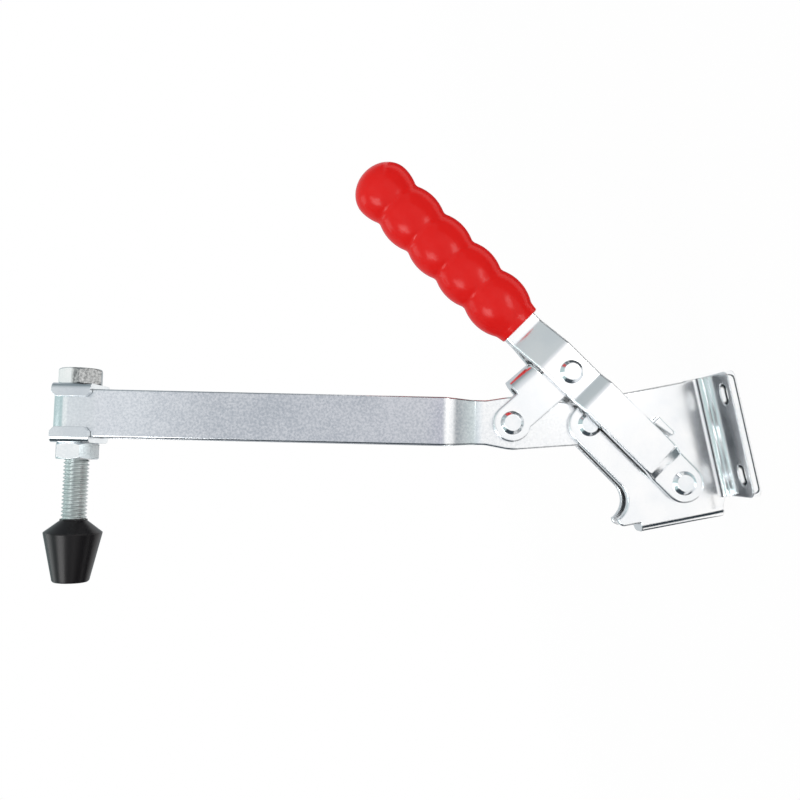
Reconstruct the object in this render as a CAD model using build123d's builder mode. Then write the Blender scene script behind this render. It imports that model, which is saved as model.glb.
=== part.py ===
"""Vertical-handle toggle clamp with a long U-bar arm, shown open.

Frame: origin at the centre of the base's slot pattern on the mounting face, +Z away from the
bench, +X the way the closed arm points, +Y the operator's left. The linkage is drawn in its open
position: arm_open_deg sets it, and the other angles follow from the lengths of the links.
"""

from math import acos, asin, atan2, cos, degrees, hypot, radians, sin, tan
import os

from build123d import *

os.makedirs("parts", exist_ok=True)

# ---------------------------------------------------------------- stock and fits
plate_t = 3.0  # base, link and handle plates
arm_t = 3.0  # strip that the U-bar is folded from
arm_h = 19.2  # width of that strip
arm_seam = 0.3  # space between the two ends of the strip behind the joggle
side_gap = 0.1  # play between plates that turn on each other
pin_gap = 0.05  # radial play of a rivet in its hole
edge_r = 0.8  # outer edges, rounded by the press tool and tumbling
stop_gap = 0.05  # space left at a stop that is just reached

# ---------------------------------------------------------------- linkage
arm_pivot_x, arm_pivot_z = -14.0, 51.0
handle_pivot_x, handle_pivot_z = 15.6, 20.0
crank = 30.8  # arm pivot to link pivot, along the arm
link_len = 30.8  # link pivot to the pivot in the handle
arm_open_deg = 102.2  # arm above forward when open; 0 when closed

# ---------------------------------------------------------------- rivets and bushes
rivet_r = 3.2
rivet_head_r, rivet_flat_r, rivet_head_h = 4.7, 3.3, 1.6
bush_wall = 2.2

# ---------------------------------------------------------------- base
flange_l, flange_reach = 47.8, 30.0  # along X, and out from the middle
flange_corner_r = 3.5
flange_bend_r = 4.0
slot_pitch_x, slot_edge = 31.0, 6.5  # pitch along X, and in from the flange's edge
slot_l, slot_w = 8.4, 7.0
boss_r = 8.3  # round the arm pivot
notch_gap = 1.1  # between the closed link's end and the notch under it
horn_drop = 3.4  # top of the horn in front of the notch, below the arm pivot
horn_front_r, horn_notch_r, rear_r = 2.2, 0.9, 6.0
base_rear = 9.7  # rear edge behind the arm pivot
rear_top_drop = 9.0  # top of that edge, below the arm pivot
web_ahead = 14.8  # front web's outer face, ahead of the closed link's pivot
web_bend_r = 0.6
web_top_drop = 12.0
web_bottom = 5.8  # above the mounting face
relief_z = 4.0  # corner relief beside the flange
lug_from, lug_l, lug_w = 16.6, 8.8, 3.6  # stop lug, measured along the open handle
lug_gap, lug_lean = 0.2, 1.45  # its edge leans away from the handle at the low end
lug_top = 11.0  # its face, out from the middle

# ---------------------------------------------------------------- U-bar arm
arm_rear_r = 8.0
arm_eye_r = 10.8  # swelling round the link pivot
arm_waist = 9.0  # half height where the closed link's web rests
waist_from, waist_to = 41.0, 47.0
joggle_from, joggle_to = 45.4, 57.0
arm_len = 215.5  # arm pivot to the tip
slot_half = 5.3  # half the space between the bar's two sides
tip_bend_r = 4.9

# ---------------------------------------------------------------- link
link_eye_r, link_top_r = 7.6, 7.0
link_front, link_back = 7.7, 6.1  # plate edges, each side of the line of pivots
link_web_reach = 13.7
link_web_to = 21.8  # far end of the web, along the link
link_bend_r = 3.0

# ---------------------------------------------------------------- handle
handle_half_w = 7.8
handle_rise = 3.0  # how far the middle stands out, to pass over the rivet heads
rise_from, rise_to = 9.1, 13.3  # along the handle from its pivot
fall_from, fall_to = 48.2, 53.3
close_from, close_to = 71.4, 85.3  # where the two plates come together
handle_tail = 165.0
handle_bend_r = 1.2
plate_touch = 0.1  # between the two plates inside the grip

# ---------------------------------------------------------------- grip
grip_from, grip_len = 89.2, 90.6
grip_offset = 0.6  # grip's axis off the line of the handle's pivots
mouth_r, mouth_l, mouth_flare = 9.4, 3.6, 0.5
mouth_bend_r, mouth_edge_r = 5.0, 0.8
lobe_r, notch_r, notch_fillet_r = 12.75, 10.75, 3.0
lobe_count, lobe_pitch, first_lobe = 5, 16.5, 13.6
grip_flat = 0.84  # thickness over width
grip_gap = 0.05

# ---------------------------------------------------------------- spindle
spindle_from_tip = 9.5  # back along the arm, where the nuts are tightened
spindle_r = 5.0
hex_flats, head_h, nut_h = 16.0, 6.4, 6.6
hex_chamfer_in, hex_chamfer_h = 1.5, 0.9  # where the corners are turned off
head_turn, nut_turn = -13, -5  # how far each hexagon happens to be turned
spindle_len = 69.0  # under the head
washer_l, washer_t, washer_bend_r = 15.4, 2.2, 0.3
washer_shift = 0.5  # towards the pivot, where the washers settled
upper_lip_h, lower_lip_h, lip_chamfer, lip_gap = 3.2, 4.0, 1.8, 0.4
tip_from = 42.4  # top of the rubber tip below the arm's middle
tip_neck_r, tip_wide_r, tip_end_r = 5.3, 11.2, 7.1
tip_cone_h, tip_h = 5.2, 24.8

# ---------------------------------------------------------------- layers out from the middle
arm_out = arm_seam / 2 + arm_t
plate_in = arm_out + side_gap
plate_out = plate_in + plate_t
handle_in = plate_out + side_gap
handle_out = handle_in + plate_t
hole_r = rivet_r + pin_gap
arm_front_out = slot_half + arm_t
spindle_at = arm_len - spindle_from_tip
web_reach = crank + web_ahead
slot_pitch_y = 2 * (flange_reach - slot_edge)

# ---------------------------------------------------------------- solving the linkage
arm_pivot = (arm_pivot_x, arm_pivot_z)
handle_pivot = (handle_pivot_x, handle_pivot_z)


def swing(start, length, angle_deg):
    a = radians(angle_deg)
    return (start[0] + length * cos(a), start[1] + length * sin(a))


def span(p, q):
    return hypot(q[0] - p[0], q[1] - p[1])


def heading(p, q):
    return degrees(atan2(q[1] - p[1], q[0] - p[0]))


# closed, the handle pivot and both ends of the link stand in one line
link_closed = swing(arm_pivot, crank, 0.0)
handle_len = span(handle_pivot, link_closed) + link_len
handle_closed_deg = heading(handle_pivot, link_closed)
# open, the handle turns back until its length and the link's meet again
link_pivot = swing(arm_pivot, crank, arm_open_deg)
reach = span(handle_pivot, link_pivot)
corner = (handle_len**2 + reach**2 - link_len**2) / (2 * handle_len * reach)
handle_open_deg = heading(handle_pivot, link_pivot) + degrees(acos(corner))
top_pivot = swing(handle_pivot, handle_len, handle_open_deg)
link_open_deg = heading(link_pivot, top_pivot) % 360

arm_turn = arm_open_deg
handle_turn = handle_open_deg - handle_closed_deg
link_turn = link_open_deg - handle_closed_deg


# ---------------------------------------------------------------- planes of a pivoted piece
def side_plane(pivot, angle_deg, y=0.0, flip=False):
    """Seen from the side: local x along the piece, local y to its left, or its right if flipped."""
    a = radians(angle_deg)
    return Plane(
        origin=(pivot[0], y, pivot[1]), x_dir=(cos(a), 0, sin(a)), z_dir=(0, 1 if flip else -1, 0)
    )


def edge_plane(pivot, angle_deg, along=0.0):
    """Seen on edge: local x along the piece, local y across the plates."""
    a = radians(angle_deg)
    at = swing(pivot, along, angle_deg)
    return Plane(origin=(at[0], 0, at[1]), x_dir=(cos(a), 0, sin(a)), z_dir=(-sin(a), 0, cos(a)))


def folded(path, bends, t):
    """Corner points and radii of a strip of thickness t, folded along path, lying to its right."""
    inner, radii_out, radii_in = [], [], []
    for i, p in enumerate(path):
        before = heading(path[max(i - 1, 0)], path[max(i, 1)])
        after = heading(path[min(i, len(path) - 2)], path[min(i + 1, len(path) - 1)])
        turn = (after - before + 180) % 360 - 180
        lean = radians(before + turn / 2 - 90)
        d = t / cos(radians(turn / 2))
        inner.append((p[0] + d * cos(lean), p[1] + d * sin(lean)))
        if 0 < i < len(path) - 1:
            r = bends[i - 1]
            radii_out.append(r if turn > 0 else r + t)
            radii_in.append(r + t if turn > 0 else r)
    points = list(path) + inner[::-1]
    return points, [0] + radii_out + [0, 0] + radii_in[::-1] + [0]


def rims(piece, level):
    """Outer edges of the flat faces that look outwards, level out from the middle."""
    flat = piece.faces().filter_by(Axis.Y).filter_by(
        lambda f: abs(f.normal_at().Y * f.center().Y - level) < 0.01
    )
    return [e for face in flat for e in face.outer_wire().edges()]


def rivet(at, name, ends):
    """Pin across the plates with a bevelled head at each end; ends is the face each head sits on."""
    with BuildPart() as pin:
        with BuildSketch(side_plane(at, 0, ends)):
            Circle(rivet_r)
        extrude(amount=2 * ends)
        with BuildSketch(side_plane(at, 0, -ends)):
            Circle(rivet_head_r)
        with BuildSketch(side_plane(at, 0, -ends - rivet_head_h)):
            Circle(rivet_flat_r)
        loft()
        mirror(about=Plane.XZ)
    pin.part.label = name
    export_step(pin.part, f"parts/{name}.step")
    return pin


def bush(at, name, half_length):
    """Distance bush that keeps two plates apart round a rivet."""
    with BuildPart() as ring:
        with BuildSketch(side_plane(at, 0)):
            Circle(hole_r + bush_wall)
            Circle(hole_r, mode=Mode.SUBTRACT)
        extrude(amount=half_length, both=True)
    ring.part.label = name
    export_step(ring.part, f"parts/{name}.step")
    return ring


# ---------------------------------------------------------------- base, one folded plate
notch_r_base = link_eye_r + notch_gap
fall = asin((boss_r + notch_r_base) / crank)  # slope of the edge from the boss to the notch
boss_edge = (boss_r * sin(fall), boss_r * cos(fall))
notch_edge = (crank - notch_r_base * sin(fall), -notch_r_base * cos(fall))
web_bend_out = web_bend_r + plate_t
plate_front = web_reach - web_bend_out
flange_z = flange_bend_r + 2 * plate_t - arm_pivot_z  # just above the bend, from the pivot
flange_ends = (-flange_l / 2 - arm_pivot_x, flange_l / 2 - arm_pivot_x)
web_foot = web_bottom + 0.4 - arm_pivot_z

with BuildPart() as base:
    # side plate: boss, sloping edge, notch for the link's end and horn
    with BuildSketch(side_plane(arm_pivot, 0, plate_out)) as cheek:
        with BuildLine():
            Polyline(
                (-base_rear, flange_z),
                (-base_rear, -rear_top_drop),
                (-boss_r * cos(radians(10)), boss_r * sin(radians(10))),
                (0, 0),
                boss_edge,
                notch_edge,
                (crank, -horn_drop),
                (plate_front, -horn_drop),
                (plate_front, web_foot),
                (flange_ends[1], relief_z - arm_pivot_z),
                (flange_ends[1], flange_z),
                close=True,
            )
        make_face()
        Circle(boss_r)
        with Locations((crank, 0)):
            Circle(notch_r_base, mode=Mode.SUBTRACT)
        horn = [v for v in cheek.vertices() if abs(v.Y + horn_drop) < 0.01]
        rear = [v for v in cheek.vertices() if abs(v.Y + rear_top_drop) < 0.01]
        fillet(max(horn, key=lambda v: v.X), horn_front_r)
        fillet(min(horn, key=lambda v: v.X), horn_notch_r)
        fillet(min(rear, key=lambda v: v.X), rear_r)
    extrude(amount=plate_t)
    # flange turned outward along the foot of the plate
    with BuildSketch(Plane.YZ):
        with BuildLine():
            FilletPolyline(
                (plate_in, flange_z + arm_pivot_z),
                (plate_in, 0),
                (flange_reach, 0),
                (flange_reach, plate_t),
                (plate_out, plate_t),
                (plate_out, flange_z + arm_pivot_z),
                radius=[0, flange_bend_r + plate_t, 0, 0, flange_bend_r, 0],
                close=True,
            )
        make_face()
    extrude(amount=flange_l / 2, both=True)
    outer_corners = base.edges().filter_by(Axis.Z).filter_by(
        lambda e: abs(e.center().Y - flange_reach) < 0.01
    )
    fillet(outer_corners, flange_corner_r)
    # stop lug pressed out beside the open handle
    with BuildSketch(side_plane(handle_pivot, handle_open_deg, plate_in + plate_t / 2)):
        with BuildLine():
            Polyline(
                (lug_from, handle_half_w + lug_gap + lug_lean),
                (lug_from + lug_l, handle_half_w + lug_gap),
                (lug_from + lug_l, handle_half_w + lug_w),
                (lug_from, handle_half_w + lug_w),
                close=True,
            )
        make_face()
    extrude(amount=-(lug_top - plate_in - plate_t / 2))
    lug_rim = base.faces().filter_by(Axis.Y).sort_by(SortBy.AREA).filter_by(
        lambda f: abs(f.center().Y - lug_top) < 0.01
    )
    fillet(lug_rim.edges(), 0.5)
    mirror(about=Plane.XZ)
    # front web joins the two plates
    with BuildSketch(Plane.XY.offset(web_bottom)):
        with BuildLine():
            points, radii = folded(
                [
                    (plate_front + arm_pivot_x - 1, plate_out),
                    (web_reach + arm_pivot_x, plate_out),
                    (web_reach + arm_pivot_x, -plate_out),
                    (plate_front + arm_pivot_x - 1, -plate_out),
                ],
                [web_bend_r, web_bend_r],
                plate_t,
            )
            FilletPolyline(points, radius=radii, close=True)
        make_face()
    extrude(amount=arm_pivot_z - web_top_drop - web_bottom)
    # pivot holes and mounting slots
    for at in (arm_pivot, handle_pivot):
        with BuildSketch(side_plane(at, 0)):
            Circle(hole_r)
        extrude(amount=plate_out + 1, both=True, mode=Mode.SUBTRACT)
    with BuildSketch(Plane.XY):
        with GridLocations(slot_pitch_x, slot_pitch_y, 2, 2):
            SlotOverall(slot_l, slot_w)
    extrude(amount=plate_t, mode=Mode.SUBTRACT)
    # free edges, apart from where the web and the flanges bend away
    upper_rim = [
        e
        for e in rims(base, plate_out)
        if e.center().Z > arm_pivot_z - web_top_drop
        or (e.center().Z > handle_pivot_z and e.center().X < arm_pivot_x - boss_r)
    ]
    fillet(upper_rim, edge_r)
base.part.label = "base"
export_step(base.part, "parts/base.step")

# ---------------------------------------------------------------- U-bar arm, one folded strip
arm_side = side_plane(arm_pivot, arm_open_deg)
arm_edge = edge_plane(arm_pivot, arm_open_deg)
eye_lean = (arm_eye_r - arm_rear_r) / crank
rear_half = arm_rear_r - arm_rear_r * eye_lean

with BuildPart() as arm:
    with BuildSketch(arm_edge.offset(-arm_eye_r)):
        with BuildLine():
            points, radii = folded(
                [
                    (-arm_rear_r, arm_out),
                    (joggle_from, arm_out),
                    (joggle_to, arm_front_out),
                    (arm_len, arm_front_out),
                    (arm_len, -arm_front_out),
                    (joggle_to, -arm_front_out),
                    (joggle_from, -arm_out),
                    (-arm_rear_r, -arm_out),
                ],
                [1.5, 1.5, tip_bend_r, tip_bend_r, 1.5, 1.5],
                arm_t,
            )
            FilletPolyline(points, radius=radii, close=True)
        make_face()
    extrude(amount=2 * arm_eye_r)
    with BuildSketch(arm_side):
        with BuildLine():
            half = [
                (-arm_rear_r, rear_half),
                (crank, arm_eye_r),
                (waist_from, arm_waist),
                (waist_to, arm_waist),
                (joggle_to, arm_h / 2),
                (arm_len, arm_h / 2),
            ]
            bends = [arm_rear_r * 0.86, 18, 14, 30, 60, 0]
            FilletPolyline(
                half + [(x, -y) for x, y in reversed(half)],
                radius=bends + bends[::-1],
                close=True,
            )
        make_face()
    extrude(amount=arm_front_out, both=True, mode=Mode.INTERSECT)
    with BuildSketch(arm_side):
        with Locations((0, 0), (crank, 0)):
            Circle(hole_r)
    extrude(amount=arm_out + 1, both=True, mode=Mode.SUBTRACT)
    fillet(rims(arm, arm_out), edge_r)
arm.part.label = "arm"
export_step(arm.part, "parts/arm.step")

# ---------------------------------------------------------------- link, one folded channel
link_lean = radians(90 - handle_closed_deg)  # closed link off square to the arm
link_web_from = (arm_waist + stop_gap + link_web_reach * sin(link_lean)) / cos(link_lean)
link_bend_out = link_bend_r + plate_t
link_dir = radians(link_open_deg)
link_front_dir = (sin(link_dir), 0, -cos(link_dir))
web_start = swing(link_pivot, link_web_from, link_open_deg)

with BuildPart() as link:
    with BuildSketch(side_plane(link_pivot, link_open_deg, plate_in, flip=True)) as side:
        Circle(link_eye_r)
        with Locations((link_len, 0)):
            Circle(link_top_r)
        with BuildLine():
            Polyline(
                (0, link_eye_r),
                (link_web_from, link_front),
                (link_len - link_top_r / 2, link_front - 0.8),
                (link_len, link_top_r * 0.9),
                (link_len, -link_back),
                (4.6, -link_back),
                (0, -link_eye_r),
                close=True,
            )
        make_face()
    extrude(amount=plate_t)
    mirror(about=Plane.XZ)
    with BuildSketch(
        Plane(
            origin=(web_start[0], 0, web_start[1]),
            x_dir=link_front_dir,
            z_dir=(cos(link_dir), 0, sin(link_dir)),
        )
    ):
        with BuildLine():
            points, radii = folded(
                [
                    (link_front - 1.5, plate_out),
                    (link_web_reach, plate_out),
                    (link_web_reach, -plate_out),
                    (link_front - 1.5, -plate_out),
                ],
                [link_bend_r, link_bend_r],
                plate_t,
            )
            FilletPolyline(points, radius=radii, close=True)
        make_face()
    extrude(amount=link_web_to - link_web_from)
    for at in (link_pivot, top_pivot):
        with BuildSketch(side_plane(at, 0)):
            Circle(hole_r)
        extrude(amount=plate_out + 1, both=True, mode=Mode.SUBTRACT)
    fillet(rims(link, plate_out), edge_r)
link.part.label = "link"
export_step(link.part, "parts/link.step")

# ---------------------------------------------------------------- handle plates
handle_side = side_plane(handle_pivot, handle_open_deg)
handle_edge = edge_plane(handle_pivot, handle_open_deg)
handle_path = [
    (-handle_half_w, handle_out),
    (rise_from, handle_out),
    (rise_to, handle_out + handle_rise),
    (fall_from, handle_out + handle_rise),
    (fall_to, handle_out),
    (close_from, handle_out),
    (close_to, plate_touch / 2 + plate_t),
    (handle_tail, plate_touch / 2 + plate_t),
]
plate_names = {1: "handle_plate_left", -1: "handle_plate_right"}
for side_sign, plate_name in plate_names.items():
    with BuildPart() as handle_plate:
        with BuildSketch(handle_edge.offset(-handle_half_w)):
            with BuildLine():
                points, radii = folded(handle_path, [handle_bend_r] * 6, plate_t)
                FilletPolyline(points, radius=radii, close=True)
            make_face()
            if side_sign < 0:
                mirror(about=Plane.XZ, mode=Mode.REPLACE)
        extrude(amount=2 * handle_half_w)
        with BuildSketch(handle_side):
            Circle(handle_half_w)
            with Locations((handle_tail / 2, 0)):
                Rectangle(handle_tail, 2 * handle_half_w)
        extrude(amount=handle_out + handle_rise, both=True, mode=Mode.INTERSECT)
        with BuildSketch(handle_side):
            with Locations((0, 0), (handle_len, 0)):
                Circle(hole_r)
        extrude(amount=handle_out + 1, both=True, mode=Mode.SUBTRACT)
        fillet(rims(handle_plate, handle_out), edge_r)
    handle_plate.part.label = plate_name
    export_step(handle_plate.part, f"parts/{plate_name}.step")

# ---------------------------------------------------------------- grip, dip-moulded over the plates
crests = [first_lobe + i * lobe_pitch for i in range(lobe_count)]
notches = [s + lobe_pitch / 2 for s in crests[:-1]]
lobe_arc_r = ((lobe_pitch / 2) ** 2 + (lobe_r - notch_r) ** 2) / 2 / (lobe_r - notch_r)
dome_start = (
    crests[-1] - lobe_pitch / 4,
    lobe_r - lobe_arc_r + (lobe_arc_r**2 - (lobe_pitch / 4) ** 2) ** 0.5,
)
grip_mouth = swing(
    swing(handle_pivot, grip_from, handle_open_deg), grip_offset, handle_open_deg + 90
)
grip_side = side_plane(grip_mouth, handle_open_deg)

with BuildPart() as grip:
    with BuildSketch(grip_side) as mould:
        with BuildLine():
            Polyline((0, 0), (0, mouth_r), (mouth_l, mouth_r + mouth_flare))
            start = (mouth_l, mouth_r + mouth_flare)
            for crest, notch in zip(crests, notches):
                ThreePointArc(start, (crest, lobe_r), (notch, notch_r))
                start = (notch, notch_r)
            ThreePointArc(start, dome_start, (crests[-1], lobe_r))
            EllipticalCenterArc((crests[-1], 0), grip_len - crests[-1], lobe_r, arc_size=90)
            Line((grip_len, 0), (0, 0))
        make_face()
        fillet([v for v in mould.vertices() if abs(v.Y - notch_r) < 0.01], notch_fillet_r)
        fillet([v for v in mould.vertices() if abs(v.Y - mouth_r - mouth_flare) < 0.01], mouth_bend_r)
        fillet([v for v in mould.vertices() if abs(v.Y - mouth_r) < 0.01], mouth_edge_r)
    revolve(axis=Axis(grip_side.origin, grip_side.x_dir))
    scale(by=(1, grip_flat, 1))
    # room for the two plates
    with BuildSketch(handle_edge.offset(-handle_half_w - grip_gap)):
        with Locations(((grip_from + handle_tail) / 2, 0)):
            Rectangle(
                handle_tail - grip_from + 2 * grip_gap, 2 * plate_t + plate_touch + 2 * grip_gap
            )
    extrude(amount=2 * (handle_half_w + grip_gap), mode=Mode.SUBTRACT)
grip.part.label = "grip"
export_step(grip.part, "parts/grip.step")

# ---------------------------------------------------------------- rivets, pin and bushes
rivet(arm_pivot, "rivet_arm_to_base", plate_out)
rivet(link_pivot, "rivet_arm_to_link", plate_out)
rivet(top_pivot, "rivet_link_to_handle", handle_out)

# the handle's lower pivot is a pin in the base, with a headed stud in each handle plate
with BuildPart() as handle_pin:
    with BuildSketch(side_plane(handle_pivot, 0)):
        Circle(rivet_r)
    extrude(amount=plate_out, both=True)
handle_pin.part.label = "handle_pivot_pin"
export_step(handle_pin.part, "parts/handle_pivot_pin.step")

for side_sign, stud_name in {1: "handle_stud_left", -1: "handle_stud_right"}.items():
    with BuildPart() as stud:
        with BuildSketch(side_plane(handle_pivot, 0, side_sign * handle_in)):
            Circle(rivet_r)
        extrude(amount=-side_sign * plate_t)
        with BuildSketch(side_plane(handle_pivot, 0, side_sign * handle_out)):
            Circle(rivet_head_r)
        with BuildSketch(side_plane(handle_pivot, 0, side_sign * (handle_out + rivet_head_h))):
            Circle(rivet_flat_r)
        loft()
    stud.part.label = stud_name
    export_step(stud.part, f"parts/{stud_name}.step")

bush(handle_pivot, "bush_in_base", plate_in)
bush(top_pivot, "bush_in_link", plate_in)

# ---------------------------------------------------------------- spindle
arm_angle = radians(arm_open_deg)
spindle_foot = swing(arm_pivot, spindle_at, arm_open_deg)
spindle_side = side_plane(spindle_foot, arm_open_deg)
along_arm = (cos(arm_angle), 0, sin(arm_angle))
up_spindle = (-sin(arm_angle), 0, cos(arm_angle))
spindle_axis = Axis((spindle_foot[0], 0, spindle_foot[1]), up_spindle)
hex_r = hex_flats / 2 / cos(radians(30))
washer_in = arm_h / 2
washer_out = washer_in + washer_t


def across_spindle(height):
    return Plane(
        origin=(
            spindle_foot[0] + height * up_spindle[0],
            0,
            spindle_foot[1] + height * up_spindle[2],
        ),
        x_dir=along_arm,
        z_dir=up_spindle,
    )


with BuildPart() as bolt:
    with BuildSketch(across_spindle(washer_out)):
        RegularPolygon(hex_r, 6, rotation=head_turn)
    extrude(amount=head_h)
    with BuildSketch(spindle_side):
        with BuildLine():
            Polyline(
                (0, washer_out),
                (hex_r - hex_chamfer_in / 2, washer_out),
                (hex_r, washer_out + hex_chamfer_h / 2),
                (hex_r, washer_out + head_h - hex_chamfer_h),
                (hex_r - hex_chamfer_in, washer_out + head_h),
                (0, washer_out + head_h),
                close=True,
            )
        make_face()
    revolve(axis=spindle_axis, mode=Mode.INTERSECT)
    with BuildSketch(across_spindle(washer_out)):
        Circle(spindle_r)
    extrude(amount=-spindle_len)
bolt.part.label = "spindle_bolt"
export_step(bolt.part, "parts/spindle_bolt.step")

with BuildPart() as nut:
    with BuildSketch(across_spindle(-washer_out)):
        RegularPolygon(hex_r, 6, rotation=nut_turn)
        Circle(spindle_r + pin_gap, mode=Mode.SUBTRACT)
    extrude(amount=-nut_h)
    with BuildSketch(spindle_side):
        with BuildLine():
            Polyline(
                (0, -washer_out),
                (hex_r - hex_chamfer_in, -washer_out),
                (hex_r, -washer_out - hex_chamfer_h),
                (hex_r, -washer_out - nut_h + hex_chamfer_h),
                (hex_r - hex_chamfer_in, -washer_out - nut_h),
                (0, -washer_out - nut_h),
                close=True,
            )
        make_face()
    revolve(axis=spindle_axis, mode=Mode.INTERSECT)
nut.part.label = "spindle_nut"
export_step(nut.part, "parts/spindle_nut.step")

# flanged washers: a plate across the bar with a lip turned over each side of it
lip_in = arm_front_out + lip_gap
lip_out = lip_in + washer_t
washer_start = swing(spindle_foot, -washer_l / 2 - washer_shift, arm_open_deg)
for end, lip_h, washer_name in (
    (1, upper_lip_h, "washer_upper"),
    (-1, lower_lip_h, "washer_lower"),
):
    with BuildPart() as washer:
        with BuildSketch(
            Plane(
                origin=(washer_start[0], 0, washer_start[1]),
                x_dir=(0, 1, 0),
                z_dir=along_arm,
            )
        ):
            with BuildLine():
                outline = [
                    (-lip_out, washer_in - lip_h),
                    (-lip_out, washer_out),
                    (lip_out, washer_out),
                    (lip_out, washer_in - lip_h),
                ]
                points, radii = folded(
                    [(end * y, end * z) for y, z in outline],
                    [washer_bend_r, washer_bend_r],
                    washer_t,
                )
                FilletPolyline(points, radius=radii, close=True)
            make_face()
        extrude(amount=washer_l)
        lip_ends = washer.edges().filter_by(Axis.Y).filter_by(
            lambda e: e.length < washer_t + 0.01
        )
        chamfer(lip_ends, lip_chamfer)
        with BuildSketch(across_spindle(0)):
            Circle(spindle_r + 0.25)
        extrude(amount=washer_out + 1, both=True, mode=Mode.SUBTRACT)
    washer.part.label = washer_name
    export_step(washer.part, f"parts/{washer_name}.step")

bolt_end = washer_out - spindle_len
with BuildPart() as tip:
    with BuildSketch(spindle_side):
        with BuildLine():
            Polyline(
                (0, bolt_end),
                (spindle_r, bolt_end),
                (spindle_r, -tip_from),
                (tip_neck_r, -tip_from),
                (tip_neck_r, -tip_from - 0.6),
                (tip_wide_r, -tip_from - tip_cone_h),
                (tip_wide_r, -tip_from - tip_cone_h - 0.5),
                (tip_end_r, -tip_from - tip_h + 0.5),
                (tip_end_r - 0.5, -tip_from - tip_h),
                (0, -tip_from - tip_h),
                close=True,
            )
        make_face()
    revolve(axis=spindle_axis)
tip.part.label = "rubber_tip"
export_step(tip.part, "parts/rubber_tip.step")

print("arm turn", arm_turn, "handle turn", handle_turn, "link turn", link_turn)
print("link pivot", link_pivot, "top pivot", top_pivot, "handle length", handle_len)
print("handle open", handle_open_deg, "closed", handle_closed_deg, "link open", link_open_deg)
print("spindle foot", spindle_foot)
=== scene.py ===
import bmesh
import bpy
from math import cos, pi, radians, sin
from mathutils import Matrix, Vector


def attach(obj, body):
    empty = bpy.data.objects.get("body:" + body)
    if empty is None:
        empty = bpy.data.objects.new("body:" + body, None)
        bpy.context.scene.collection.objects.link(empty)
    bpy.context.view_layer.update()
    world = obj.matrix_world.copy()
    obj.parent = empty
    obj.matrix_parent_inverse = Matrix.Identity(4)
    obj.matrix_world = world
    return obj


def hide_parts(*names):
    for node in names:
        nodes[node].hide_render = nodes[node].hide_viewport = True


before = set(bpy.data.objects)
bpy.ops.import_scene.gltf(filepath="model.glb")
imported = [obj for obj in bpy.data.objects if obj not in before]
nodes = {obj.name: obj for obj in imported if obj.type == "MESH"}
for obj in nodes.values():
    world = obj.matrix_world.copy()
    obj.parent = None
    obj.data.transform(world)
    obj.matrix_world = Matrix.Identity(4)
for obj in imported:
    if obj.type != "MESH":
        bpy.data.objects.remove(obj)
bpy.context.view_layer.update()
scene = bpy.context.scene
print("frame loaded:", len(nodes), "nodes")

mm = 0.001


def toLinear(hexColour):  # sRGB hex to linear RGBA
    parts = [int(hexColour[i:i + 2], 16) / 255 for i in (1, 3, 5)]
    return [c / 12.92 if c <= 0.04045 else ((c + 0.055) / 1.055) ** 2.4 for c in parts] + [1.0]


def addNode(tree, kind, settings=None, inputs=None):  # an input takes a value, a hex colour or a socket to link
    node = tree.nodes.new(kind)
    for name, value in (settings or {}).items():
        setattr(node, name, value)
    for socket, value in (inputs or {}).items():
        if isinstance(value, bpy.types.NodeSocket):
            tree.links.new(value, node.inputs[socket])
        else:
            node.inputs[socket].default_value = toLinear(value) if isinstance(value, str) else value
    return node


def fillRamp(ramp, stops):  # each stop is a place from 0 to 1 and a linear colour
    for step, (at, colour) in ((ramp.elements[0], stops[0]), (ramp.elements[-1], stops[-1])):
        step.position, step.color = at, colour
    for at, colour in stops[1:-1]:
        ramp.elements.new(at).color = colour


# camera: level with the middle of the clamp, rolled so that its top points to the left
view = {"right": (0.189093, -0.000423, -0.981947), "down": (0.979062, -0.076516, 0.188571),
        "forward": (-0.075215, -0.997068, -0.014055), "place": (-0.01384993, 0.3251513, 0.1278441),
        "lens": 36.056, "sensor": 36, "nearest": 0.01}
cameraData = bpy.data.cameras.new("camera")
cameraData.lens = view["lens"]
cameraData.sensor_width = view["sensor"]
cameraData.clip_start = view["nearest"]
camera = bpy.data.objects.new("camera", cameraData)
scene.collection.objects.link(camera)
facing = Matrix((view["right"], [-v for v in view["down"]], [-v for v in view["forward"]])).transposed()
camera.matrix_world = Matrix.Translation(view["place"]) @ facing.to_4x4()
scene.camera = camera
scene.view_settings.view_transform = "Standard"

# surroundings: plain white, a little dimmer where they light the clamp than where they are seen
surroundings = {"colour": "#FFFFFF", "ambient": 0.72}
world = bpy.data.worlds.new("studio")
scene.world = world
world.use_nodes = True


def backgroundShare(tree):  # 1 for what the camera, a reflection or a clear material sees, 0 for what lights the clamp
    look = addNode(tree, "ShaderNodeLightPath").outputs
    seen = addNode(tree, "ShaderNodeMath", {"operation": "MAXIMUM"},
                   {0: look["Is Camera Ray"], 1: look["Is Glossy Ray"]})
    return addNode(tree, "ShaderNodeMath", {"operation": "MAXIMUM"},
                   {0: seen.outputs[0], 1: look["Is Transmission Ray"]}).outputs[0]


def surround(tree):
    tree.nodes.clear()
    strength = addNode(tree, "ShaderNodeMapRange", None,
                       {"Value": backgroundShare(tree), "To Min": surroundings["ambient"], "To Max": 1.0})
    background = addNode(tree, "ShaderNodeBackground", None,
                         {"Color": surroundings["colour"], "Strength": strength.outputs[0]})
    addNode(tree, "ShaderNodeOutputWorld", None, {"Surface": background.outputs[0]})


surround(world.node_tree)


def makeMesh(name, points, faces, material):
    mesh = bpy.data.meshes.new(name)
    mesh.from_pydata(points, [], faces)
    mesh.materials.append(material)
    piece = bpy.data.objects.new(name, mesh)
    scene.collection.objects.link(piece)
    return piece


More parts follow.
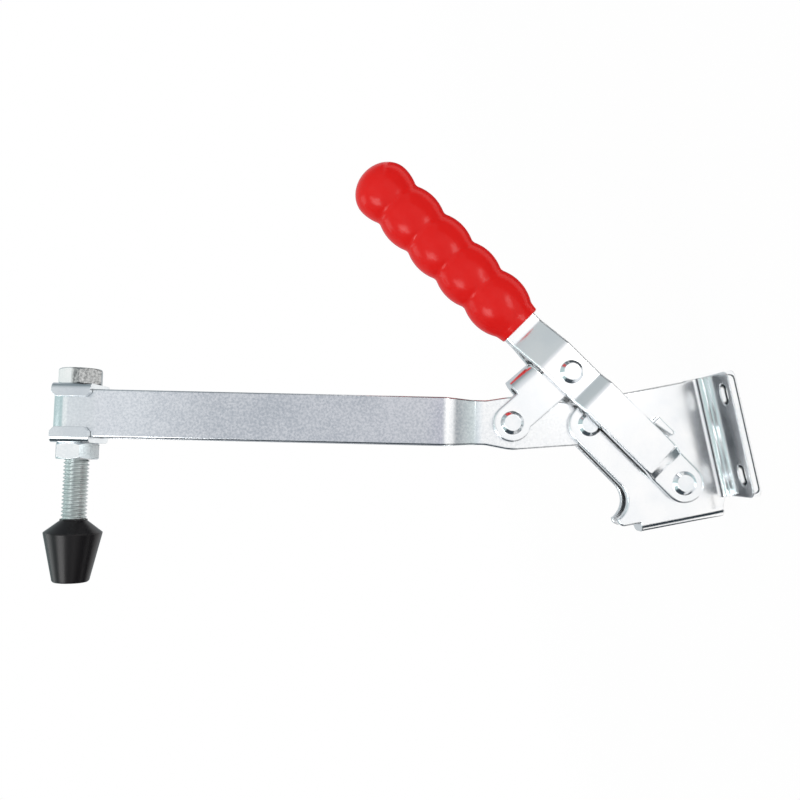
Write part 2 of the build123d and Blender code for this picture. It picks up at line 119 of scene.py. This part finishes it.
def emptyMaterial(name):
    material = bpy.data.materials.new(name)
    material.use_nodes = True
    material.node_tree.nodes.clear()
    return material


def levelCorners(left, right, near, far, height):  # of a level card, its face upwards
    return [(left, near, height), (right, near, height), (right, far, height), (left, far, height)]


# floor: matt near the clamp, where its shadow falls, and fading to plain white further out
floorLook = {"paint": "#FAFAFA", "glow": "#FFFFFF", "glowNear": 0.96, "fadeFrom": 0.30, "fadeTo": 0.90, "reach": 3.0}


def paintedFloor():
    material = emptyMaterial("paintedFloor")
    tree = material.node_tree
    place = addNode(tree, "ShaderNodeTexCoord").outputs["Object"]
    away = addNode(tree, "ShaderNodeVectorMath", {"operation": "LENGTH"}, {"Vector": place})
    fade = addNode(tree, "ShaderNodeMapRange", None,
                   {"Value": away.outputs["Value"], "From Min": floorLook["fadeFrom"], "From Max": floorLook["fadeTo"],
                    "To Min": floorLook["glowNear"], "To Max": 1.0})
    share = addNode(tree, "ShaderNodeMath", {"operation": "MULTIPLY"}, {0: backgroundShare(tree), 1: fade.outputs[0]})
    glow = addNode(tree, "ShaderNodeEmission", None, {"Color": floorLook["glow"], "Strength": 1.0})
    paint = addNode(tree, "ShaderNodeBsdfDiffuse", None, {"Color": floorLook["paint"]})
    mix = addNode(tree, "ShaderNodeMixShader", None, {0: share.outputs[0], 1: paint.outputs[0], 2: glow.outputs[0]})
    addNode(tree, "ShaderNodeOutputMaterial", None, {"Surface": mix.outputs[0]})
    return material


reach = floorLook["reach"]
floor = makeMesh("floor", levelCorners(-reach, reach, -reach, reach, 0), [(0, 1, 2, 3)], paintedFloor())


def onlyMirrored(piece):
    piece.visible_camera = piece.visible_diffuse = piece.visible_transmission = piece.visible_shadow = False


# tent that the bright plating mirrors: grey cloth, palest in front, pale overhead and dark to the two sides;
# its bands are places from 0 behind the clamp to 1 in front of it, and its edges are shares of its radius
tent = {"radius": 1.5, "rings": 24, "spokes": 48,
        "bands": ((0.0, "#C4CACE"), (0.30, "#C4CACE"), (0.50, "#8E989D"), (0.66, "#8E989D"), (0.80, "#C0C7C9"),
                  (0.95, "#E0E3E7"), (1.0, "#E0E3E7")),
        "crown": "#BCD0D1", "crownEdge": (0.60, 0.74), "sides": "#3E474E",
        "sideEdges": ((0.52, 0.66), (-0.94, -1.0))}  # wider on the side that the closed arm points to


def tentCloth():
    material = emptyMaterial("greyTentCloth")
    tree = material.node_tree
    place = addNode(tree, "ShaderNodeTexCoord").outputs["Object"]
    axes = addNode(tree, "ShaderNodeSeparateXYZ", None, {"Vector": place}).outputs
    front = addNode(tree, "ShaderNodeMapRange", None,
                    {"Value": axes["Y"], "From Min": -tent["radius"], "From Max": tent["radius"]})
    shade = addNode(tree, "ShaderNodeValToRGB", None, {"Fac": front.outputs[0]})
    fillRamp(shade.color_ramp, [(at, toLinear(colour)) for at, colour in tent["bands"]])
    cloth = shade.outputs[0]
    patches = [("Z", tent["crownEdge"], tent["crown"])] + [("X", edge, tent["sides"]) for edge in tent["sideEdges"]]
    for axis, (start, end), colour in patches:
        share = addNode(tree, "ShaderNodeMapRange", None,
                        {"Value": axes[axis], "From Min": start * tent["radius"], "From Max": end * tent["radius"]})
        cloth = addNode(tree, "ShaderNodeMix", {"data_type": "RGBA"},
                        {0: share.outputs[0], 6: cloth, 7: colour}).outputs[2]
    glow = addNode(tree, "ShaderNodeEmission", None, {"Color": cloth, "Strength": 1.0})
    addNode(tree, "ShaderNodeOutputMaterial", None, {"Surface": glow.outputs[0]})
    return material


def greyTent():
    radius, rings, spokes = tent["radius"], tent["rings"], tent["spokes"]
    points, faces = [], []
    for i in range(rings + 1):
        across, along = radius * sin(pi * i / rings), radius * cos(pi * i / rings)
        for k in range(spokes):
            points.append((across * cos(2 * pi * k / spokes), along, across * sin(2 * pi * k / spokes)))
    for i in range(rings):
        for k in range(spokes):
            n = (k + 1) % spokes
            faces.append((i * spokes + k, i * spokes + n, (i + 1) * spokes + n, (i + 1) * spokes + k))
    onlyMirrored(makeMesh("greyTent", points, faces, tentCloth()))


def card(name, corners, colour, strength=1.0, fromBelow=False):  # flat cards, four corners each
    material = emptyMaterial(name + "Paper")
    tree = material.node_tree
    surface = addNode(tree, "ShaderNodeEmission", None, {"Color": colour, "Strength": strength})
    if fromBelow:  # lets through what comes from above
        clear = addNode(tree, "ShaderNodeBsdfTransparent")
        below = addNode(tree, "ShaderNodeNewGeometry").outputs["Backfacing"]
        surface = addNode(tree, "ShaderNodeMixShader", None, {0: below, 1: clear.outputs[0], 2: surface.outputs[0]})
    addNode(tree, "ShaderNodeOutputMaterial", None, {"Surface": surface.outputs[0]})
    faces = [tuple(range(k, k + 4)) for k in range(0, len(corners), 4)]
    onlyMirrored(makeMesh(name, corners, faces, material))


middle = (-0.03, 0, 0.13)  # of the clamp, in metres


def squareOn(place, width, height):  # the corners of a card turned to the middle of the clamp
    place = Vector(place)
    away = (place - Vector(middle)).normalized()
    across = away.cross(Vector((0, 0, 1))).normalized() * width / 2
    up = across.cross(away).normalized() * height / 2
    return [tuple(place + across * sx + up * sy) for sx, sy in ((-1, -1), (1, -1), (1, 1), (-1, 1))]


def bothSides(half, near, far, height):  # the corners of a level strip on either side of the clamp
    return [corner for sy in (1, -1) for corner in levelCorners(-half, half, sy * near, sy * far, height)]


# dark cards give the bright edges their dark lines, in metres from the middle of the base: wings on the bench past
# the ends of the flanges, rims along their sides, strips inside the slots, and a level card in front of the flanges,
# 30 mm up, that is dark only from below
darkCards = {"bench": 0.0004, "wing": ((0.034, 0.008), (0.7, 0.09), (0.7, 0.75), (0.036, 0.016)),
             "rim": (0.034, 0.0302, 0.0314), "benchBlack": "#343C42",
             "slot": (0.0236, 0.009, 0.0218), "slotBlack": "#23282C",
             "front": (-0.12, 0.12, 0.043, 0.104, 0.030), "frontBlack": "#1C242D"}
greyTent()
wings = [(sx * x, sy * y, darkCards["bench"]) for sx in (1, -1) for sy in (1, -1) for x, y in darkCards["wing"]]
card("benchCards", wings + bothSides(*darkCards["rim"], darkCards["bench"]), darkCards["benchBlack"])
card("slotCards", bothSides(*darkCards["slot"], darkCards["bench"]), darkCards["slotBlack"])
card("flangeCard", levelCorners(*darkCards["front"]), darkCards["frontBlack"], fromBelow=True)

# bright cards: the window and the patch on the bench give the soft grip its wide highlights, and the high one,
# upright in front of the clamp, brightens the nut, the washers and the bolt's head
brightCards = {"window": ((0.42, 0.78, 0.84), 0.40, 0.52), "windowStrength": 6.0,
               "patch": (-0.11, -0.03, 0.11, 0.19, 0.0005), "patchStrength": 5.0, "white": "#FFFFFF",
               "high": (-0.08, -0.55, 0.75, 0.58, 1.14), "highWhite": "#F6F8F8"}
card("windowCard", squareOn(*brightCards["window"]), brightCards["white"], brightCards["windowStrength"])
card("benchGlow", levelCorners(*brightCards["patch"]), brightCards["white"], brightCards["patchStrength"])
right, left, away, low, top = brightCards["high"]
card("highCard", [(right, away, low), (left, away, low), (left, away, top), (right, away, top)],
     brightCards["highWhite"])

# softboxes, in metres; a brightness of 1 is white
softboxes = {
    "frontBox": {"place": (0.10, 1.05, 0.62), "aim": middle, "size": (0.8, 0.35), "brightness": 0.9},
    "crownBox": {"place": (0.24, 0.64, 0.94), "aim": (-0.09, 0, 0.11), "size": (0.26, 0.26), "brightness": 2.6},
    "gripBox": {"place": (-0.36, 1.0, 0.12), "aim": middle, "size": (0.22, 0.22), "brightness": 2.0},
    "topBox": {"place": (0.0, 0.0, 1.2), "aim": middle, "size": (0.5, 0.5), "brightness": 2.0}}
for name, box in softboxes.items():
    width, height = box["size"]
    data = bpy.data.lights.new(name, "AREA")
    data.shape = "RECTANGLE"
    data.size, data.size_y = width, height
    data.energy = box["brightness"] * pi * width * height
    lamp = bpy.data.objects.new(name, data)
    scene.collection.objects.link(lamp)
    lamp.location = box["place"]
    lamp.rotation_euler = (Vector(box["aim"]) - Vector(box["place"])).to_track_quat("-Z", "Y").to_euler()
    lamp.visible_glossy = name == "topBox"  # the others aren't mirrored
print("studio ready")

# zinc, electroplated and blue-passivated over steel: cool white and mirror-bright, its gloss slightly uneven;
# the specks are drawn coarser than real ones, so that they show; sizes in mm
zinc = {"cloud": 14.0, "cloudDetail": 3.0, "speck": 0.9, "speckDetail": 2.0, "dullBelow": 0.36, "brightAbove": 0.64,
        "rougher": 0.05, "smoother": 0.03, "bumpStrength": 0.3, "bumpDepth": 0.02, "edgeSamples": 6}

# how each steel was made shows through the zinc; grain is the share of specks, edge a rounding in mm
steels = {
    "zincPlatedSheetSteel": {  # cold-rolled sheet: white and nearly even, its edges rounded by the press
        "bright": "#FFFFFF", "dull": "#F7F9FB", "roughness": 0.15, "edge": 0.8, "grain": 0.2},
    "zincPlatedWasherSteel": {  # pressed sheet: a little greyer and duller
        "bright": "#EEF2F4", "dull": "#DCE1E5", "roughness": 0.17, "edge": 0.3, "grain": 0.3},
    "zincPlatedStripSteel": {  # hot-rolled strip: grained all over
        "bright": "#FFFFFF", "dull": "#D6DADE", "roughness": 0.19, "edge": 0.3, "grain": 0.75},
    "zincPlatedTurnedSteel": {  # turned and headed: the smoothest
        "bright": "#FBFCFD", "dull": "#EDF1F4", "roughness": 0.14, "edge": 0.25, "grain": 0.3},
    "zincPlatedRolledThread": {  # the thread rolls leave it satin
        "bright": "#DADFDE", "dull": "#C3CAC9", "roughness": 0.34, "edge": 0, "grain": 0.1},
    "zincPlatedForgedSteelPaintedDark": {  # the forging die grains it coarsely; its dark tone is a painted reflection
        "bright": "#C6C7C6", "dull": "#777979", "roughness": 0.18, "edge": 0.4, "grain": 0.7}}


def zincPlated(name, grainAndPaintedReflection=None):
    steel = steels[name]
    material = emptyMaterial(name)
    tree = material.node_tree
    place = addNode(tree, "ShaderNodeTexCoord").outputs["Object"]
    cloud = addNode(tree, "ShaderNodeTexNoise", None,
                    {"Vector": place, "Scale": 1 / (zinc["cloud"] * mm), "Detail": zinc["cloudDetail"]})
    speck = addNode(tree, "ShaderNodeTexNoise", None,
                    {"Vector": place, "Scale": 1 / (zinc["speck"] * mm), "Detail": zinc["speckDetail"]})
    both = addNode(tree, "ShaderNodeMix", {"data_type": "FLOAT"},
                   {0: steel["grain"], 2: cloud.outputs["Fac"], 3: speck.outputs["Fac"]})
    uneven = addNode(tree, "ShaderNodeMapRange", None,
                     {"Value": both.outputs[0], "From Min": zinc["dullBelow"], "From Max": zinc["brightAbove"]})
    tint = addNode(tree, "ShaderNodeMix", {"data_type": "RGBA"},
                   {0: uneven.outputs[0], 6: steel["dull"], 7: steel["bright"]}).outputs[2]
    # a given tone step paints reflection onto the tint, on top of the grain
    if grainAndPaintedReflection:
        tint = grainAndPaintedReflection(tree, place, tint)
    rough = addNode(tree, "ShaderNodeMapRange", None,
                    {"Value": uneven.outputs[0], "To Min": steel["roughness"] + zinc["rougher"],
                     "To Max": steel["roughness"] - zinc["smoother"]})
    bump = addNode(tree, "ShaderNodeBump", None,
                   {"Height": speck.outputs["Fac"], "Strength": zinc["bumpStrength"] * steel["grain"],
                    "Distance": zinc["bumpDepth"] * mm})
    if steel["edge"]:
        soft = addNode(tree, "ShaderNodeBevel", {"samples": zinc["edgeSamples"]}, {"Radius": steel["edge"] * mm})
        tree.links.new(soft.outputs[0], bump.inputs["Normal"])
    shader = addNode(tree, "ShaderNodeBsdfPrincipled", None,
                     {"Metallic": 1.0, "Base Color": tint, "Roughness": rough.outputs[0], "Normal": bump.outputs[0]})
    addNode(tree, "ShaderNodeOutputMaterial", None, {"Surface": shader.outputs[0]})
    return material


# the arm's tone changes along it, from the pivot: clean at the eye, grained from the fold on, cleaner again
# at the tip; the dark band from 46 to 53 mm and the white band from 55 to 57.5 mm are painted reflections of the
# fold, and the greyer middle is partly grain and partly painted reflection; each stop is a place in mm, a tone,
# and how much of the grain shows
arm = {"pivot": (-14.0, 51.0), "openAngle": 102.2, "length": 215.5, "clean": "#FBFCFD",
       "grainAndPaintedReflection": ((0.0, "#FFFFFF", 0.25), (42.5, "#FFFFFF", 0.25), (44.0, "#EEF4F8", 0.3), (46.0, "#D6DFE0", 0.6),
                  (53.0, "#B4B8BB", 1.0), (55.0, "#FFFFFF", 0.4), (57.5, "#FFFFFF", 0.4), (59.0, "#DEDDE5", 1.0),
                  (66.0, "#E4E4E8", 1.0), (150.0, "#E8E9EC", 1.0), (182.0, "#FCFDFF", 0.8), (196.0, "#FCFDFF", 0.7),
                  (198.0, "#F8FAFB", 0.5), (215.5, "#F6FAFB", 0.3))}
armWay = (cos(radians(arm["openAngle"])), 0, sin(radians(arm["openAngle"])))


# multiplies the painted tones along the arm into the grained tint; the fold's painted reflections are among them
def armGrainAndPaintedReflection(tree, place, tint):
    along = addNode(tree, "ShaderNodeVectorMath", {"operation": "DOT_PRODUCT"}, {0: place, 1: armWay})
    start = (arm["pivot"][0] * armWay[0] + arm["pivot"][1] * armWay[2]) * mm
    share = addNode(tree, "ShaderNodeMapRange", None,
                    {"Value": along.outputs["Value"], "From Min": start, "From Max": start + arm["length"] * mm})
    shade = addNode(tree, "ShaderNodeValToRGB", None, {"Fac": share.outputs[0]})
    fillRamp(shade.color_ramp, [(at / arm["length"], toLinear(tone)[:3] + [grainShare])
                                for at, tone, grainShare in arm["grainAndPaintedReflection"]])
    grained = addNode(tree, "ShaderNodeMix", {"data_type": "RGBA"},
                      {0: shade.outputs["Alpha"], 6: arm["clean"], 7: tint})
    return addNode(tree, "ShaderNodeMix", {"data_type": "RGBA", "blend_type": "MULTIPLY"},
                   {0: 1.0, 6: grained.outputs[2], 7: shade.outputs[0]}).outputs[2]


def dress(material, *names):
    for name in names:
        mesh = nodes[name].data
        mesh.materials.clear()
        mesh.materials.append(material)


dress(zincPlated("zincPlatedSheetSteel"), "base", "link", "handle_plate_left", "handle_plate_right")
dress(zincPlated("zincPlatedWasherSteel"), "washer_upper", "washer_lower")
dress(zincPlated("zincPlatedStripSteel", armGrainAndPaintedReflection), "arm")
dress(zincPlated("zincPlatedTurnedSteel"), "rivet_arm_to_base", "rivet_arm_to_link", "rivet_link_to_handle",
      "handle_pivot_pin", "handle_stud_left", "handle_stud_right", "bush_in_base", "bush_in_link", "spindle_bolt",
      "spindle_nut")

# M10 spindle: rolled thread of 1.5 mm pitch under the hexagon head; its ends are measured from the arm's middle line
spindle = {"foot": (-57.5329, 252.3477), "pitch": 1.5, "crest": 4.93, "root": 4.08, "flat": 0.12, "threadFrom": 11.8,
           "threadTo": -57.0, "spokes": 48, "stepsPerTurn": 12, "merge": 0.001, "slack": 0.01}
spindleWay = Vector((-sin(radians(arm["openAngle"])), 0, cos(radians(arm["openAngle"]))))
spindleFoot = Vector((spindle["foot"][0], 0, spindle["foot"][1])) * mm


def threadTree():  # a cylinder whose rings swell and shrink along a helix
    tree = bpy.data.node_groups.new("rolledThread", "GeometryNodeTree")
    tree.interface.new_socket("Geometry", in_out="OUTPUT", socket_type="NodeSocketGeometry")
    sockets = {}
    for name, kind in (("Length", "NodeSocketFloat"), ("Pitch", "NodeSocketFloat"), ("Crest", "NodeSocketFloat"),
                       ("Root", "NodeSocketFloat"), ("Flat", "NodeSocketFloat"), ("Spokes", "NodeSocketInt"),
                       ("Steps", "NodeSocketInt"), ("Material", "NodeSocketMaterial")):
        sockets[name] = tree.interface.new_socket(name, in_out="INPUT", socket_type=kind).identifier
    given = addNode(tree, "NodeGroupInput").outputs
    body = addNode(tree, "GeometryNodeMeshCylinder", {"fill_type": "NGON"},
                   {"Vertices": given["Spokes"], "Side Segments": given["Steps"], "Radius": given["Crest"],
                    "Depth": given["Length"]})
    x, y, z = addNode(tree, "ShaderNodeSeparateXYZ", None,
                      {"Vector": addNode(tree, "GeometryNodeInputPosition").outputs[0]}).outputs
    value = {"x": x, "y": y, "z": z, "pitch": given["Pitch"], "crest": given["Crest"], "root": given["Root"],
             "flat": given["Flat"]}
    for name, operation, first, second in (
            ("angle", "ARCTAN2", "y", "x"), ("turn", "DIVIDE", "angle", 2 * pi), ("climb", "DIVIDE", "z", "pitch"),
            ("lag", "SUBTRACT", "climb", "turn"), ("ahead", "ADD", "lag", 100.0),  # whole turns, so it stays above 0
            ("phase", "FRACT", "ahead", 0.0), ("twice", "MULTIPLY", "phase", 2.0), ("swing", "SUBTRACT", "twice", 1.0),
            ("valley", "ABSOLUTE", "swing", 0.0), ("ridge", "SUBTRACT", 1.0, "valley"),
            ("above", "SUBTRACT", "ridge", "flat"), ("flats", "MULTIPLY", "flat", 2.0),
            ("slope", "SUBTRACT", 1.0, "flats"), ("flank", "DIVIDE", "above", "slope"),
            ("depth", "SUBTRACT", "crest", "root"), ("rise", "MULTIPLY", "flank", "depth"),
            ("radius", "ADD", "root", "rise")):
        value[name] = addNode(tree, "ShaderNodeMath", {"operation": operation, "use_clamp": name == "flank"},
                              {0: value.get(first, first), 1: value.get(second, second)}).outputs[0]
    across = addNode(tree, "ShaderNodeCombineXYZ", None, {"X": x, "Y": y})
    outward = addNode(tree, "ShaderNodeVectorMath", {"operation": "NORMALIZE"}, {0: across.outputs[0]})
    ring = addNode(tree, "ShaderNodeVectorMath", {"operation": "SCALE"},
                   {"Vector": outward.outputs[0], "Scale": value["radius"]})
    level = addNode(tree, "ShaderNodeCombineXYZ", None, {"Z": z})
    target = addNode(tree, "ShaderNodeVectorMath", {"operation": "ADD"}, {0: ring.outputs[0], 1: level.outputs[0]})
    moved = addNode(tree, "GeometryNodeSetPosition", None,
                    {"Geometry": body.outputs["Mesh"], "Position": target.outputs[0]})
    smooth = addNode(tree, "GeometryNodeSetShadeSmooth", None, {"Geometry": moved.outputs[0]})
    real = addNode(tree, "GeometryNodeRealizeInstances", None, {"Geometry": smooth.outputs[0]})
    coated = addNode(tree, "GeometryNodeSetMaterial", None,
                     {"Geometry": real.outputs[0], "Material": given["Material"]})
    addNode(tree, "NodeGroupOutput", None, {"Geometry": coated.outputs[0]})
    return tree, sockets


def settle(name, tree, sockets, values):  # run a node tree once and keep the plain mesh
    host = bpy.data.objects.new(name + "Host", bpy.data.meshes.new(name + "Host"))
    scene.collection.objects.link(host)
    modifier = host.modifiers.new(name, "NODES")
    modifier.node_group = tree
    for label, value in values.items():
        modifier[sockets[label]] = value
    bpy.context.view_layer.update()
    mesh = bpy.data.meshes.new_from_object(host.evaluated_get(bpy.context.evaluated_depsgraph_get()))
    host.modifiers.clear()
    bpy.data.objects.remove(host)
    return mesh


def threadedBolt(threadSteel, headSteel):
    length = spindle["threadFrom"] - spindle["threadTo"]
    mesh = settle("rolledThread", *threadTree(), {
        "Length": length * mm, "Pitch": spindle["pitch"] * mm, "Crest": spindle["crest"] * mm,
        "Root": spindle["root"] * mm, "Flat": spindle["flat"], "Spokes": spindle["spokes"],
        "Steps": round(length / spindle["pitch"] * spindle["stepsPerTurn"]), "Material": threadSteel})
    mesh.materials.clear()
    mesh.materials.append(threadSteel)
    mesh.materials.append(headSteel)
    mesh.polygons.foreach_set("material_index", [0] * len(mesh.polygons))
    centre = spindleFoot + spindleWay * (spindle["threadFrom"] + spindle["threadTo"]) / 2 * mm
    mesh.transform(Matrix.Translation(centre) @ spindleWay.to_track_quat("Z", "Y").to_matrix().to_4x4())
    work = bmesh.new()
    work.from_mesh(nodes["spindle_bolt"].data)  # the hexagon head, from a merged copy
    bmesh.ops.remove_doubles(work, verts=work.verts, dist=spindle["merge"] * mm)
    headFrom = (spindle["threadFrom"] - spindle["slack"]) * mm
    shank = [f for f in work.faces if (f.calc_center_median() - spindleFoot).dot(spindleWay) < headFrom]
    bmesh.ops.delete(work, geom=shank, context="FACES")
    bmesh.ops.holes_fill(work, edges=[e for e in work.edges if e.is_boundary])
    for face in work.faces:
        face.material_index = 1
        face.smooth = False
    work.from_mesh(mesh)
    work.to_mesh(mesh)
    work.free()
    bolt = bpy.data.objects.new("threadedBolt", mesh)
    scene.collection.objects.link(bolt)
    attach(bolt, "spindle")
    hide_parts("spindle_bolt")
    print("thread:", len(mesh.polygons), "faces")


# one side of the bolt's head keeps the die's grain and a painted dark reflection, the other is painted clean and near
# white as a bright reflection; the edge between them is in mm from its axis
head = {"clean": "#FDFDFC", "grainedTo": -0.4, "cleanFrom": 1.0}


# paints one side of the head clean and near white and leaves the other dark and grained: painted reflections
def headGrainAndPaintedReflection(tree, place, tint):
    along = addNode(tree, "ShaderNodeVectorMath", {"operation": "DOT_PRODUCT"}, {0: place, 1: armWay})
    axis = spindleFoot.dot(Vector(armWay))
    clean = addNode(tree, "ShaderNodeMapRange", None,
                    {"Value": along.outputs["Value"], "From Min": axis + head["grainedTo"] * mm,
                     "From Max": axis + head["cleanFrom"] * mm})
    return addNode(tree, "ShaderNodeMix", {"data_type": "RGBA"},
                   {0: clean.outputs[0], 6: tint, 7: head["clean"]}).outputs[2]


threadedBolt(zincPlated("zincPlatedRolledThread"), zincPlated("zincPlatedForgedSteelPaintedDark", headGrainAndPaintedReflection))

# dip-moulded vinyl: a thick soft skin drawn off its mould, saturated red with a wet-looking gloss
vinyl = {"deep": "#E31815", "bright": "#EA1F1B", "roughness": 0.20, "ior": 1.45, "gloss": 0.22, "ripple": 7.0,
         "rippleDetail": 2.0, "rippleStrength": 0.06, "rippleDepth": 0.06}


def dippedVinyl():
    material = emptyMaterial("dipMouldedVinyl")
    tree = material.node_tree
    place = addNode(tree, "ShaderNodeTexCoord").outputs["Object"]
    ripple = addNode(tree, "ShaderNodeTexNoise", None,
                     {"Vector": place, "Scale": 1 / (vinyl["ripple"] * mm), "Detail": vinyl["rippleDetail"]})
    tint = addNode(tree, "ShaderNodeMix", {"data_type": "RGBA"},
                   {0: ripple.outputs["Fac"], 6: vinyl["deep"], 7: vinyl["bright"]})
    bump = addNode(tree, "ShaderNodeBump", None,
                   {"Height": ripple.outputs["Fac"], "Strength": vinyl["rippleStrength"],
                    "Distance": vinyl["rippleDepth"] * mm})
    shader = addNode(tree, "ShaderNodeBsdfPrincipled", None,
                     {"Base Color": tint.outputs[2], "Roughness": vinyl["roughness"], "IOR": vinyl["ior"],
                      "Specular IOR Level": vinyl["gloss"], "Normal": bump.outputs[0]})
    addNode(tree, "ShaderNodeOutputMaterial", None, {"Surface": shader.outputs[0]})
    return material


# nitrile rubber, compression moulded: nearly black and satin, with a faint mould texture, drawn coarser than a
# real one so that it shows
rubber = {"dark": "#0E0C0E", "light": "#161316", "roughness": 0.30, "gloss": 0.28, "skin": 0.8, "skinDetail": 3.0,
          "skinStrength": 0.12, "skinDepth": 0.04}


def mouldedRubber():
    material = emptyMaterial("mouldedNitrileRubber")
    tree = material.node_tree
    place = addNode(tree, "ShaderNodeTexCoord").outputs["Object"]
    skin = addNode(tree, "ShaderNodeTexNoise", None,
                   {"Vector": place, "Scale": 1 / (rubber["skin"] * mm), "Detail": rubber["skinDetail"]})
    tint = addNode(tree, "ShaderNodeMix", {"data_type": "RGBA"},
                   {0: skin.outputs["Fac"], 6: rubber["dark"], 7: rubber["light"]})
    bump = addNode(tree, "ShaderNodeBump", None,
                   {"Height": skin.outputs["Fac"], "Strength": rubber["skinStrength"],
                    "Distance": rubber["skinDepth"] * mm})
    shader = addNode(tree, "ShaderNodeBsdfPrincipled", None,
                     {"Base Color": tint.outputs[2], "Roughness": rubber["roughness"],
                      "Specular IOR Level": rubber["gloss"], "Normal": bump.outputs[0]})
    addNode(tree, "ShaderNodeOutputMaterial", None, {"Surface": shader.outputs[0]})
    return material


dress(dippedVinyl(), "grip")
dress(mouldedRubber(), "rubber_tip")
print("materials on")
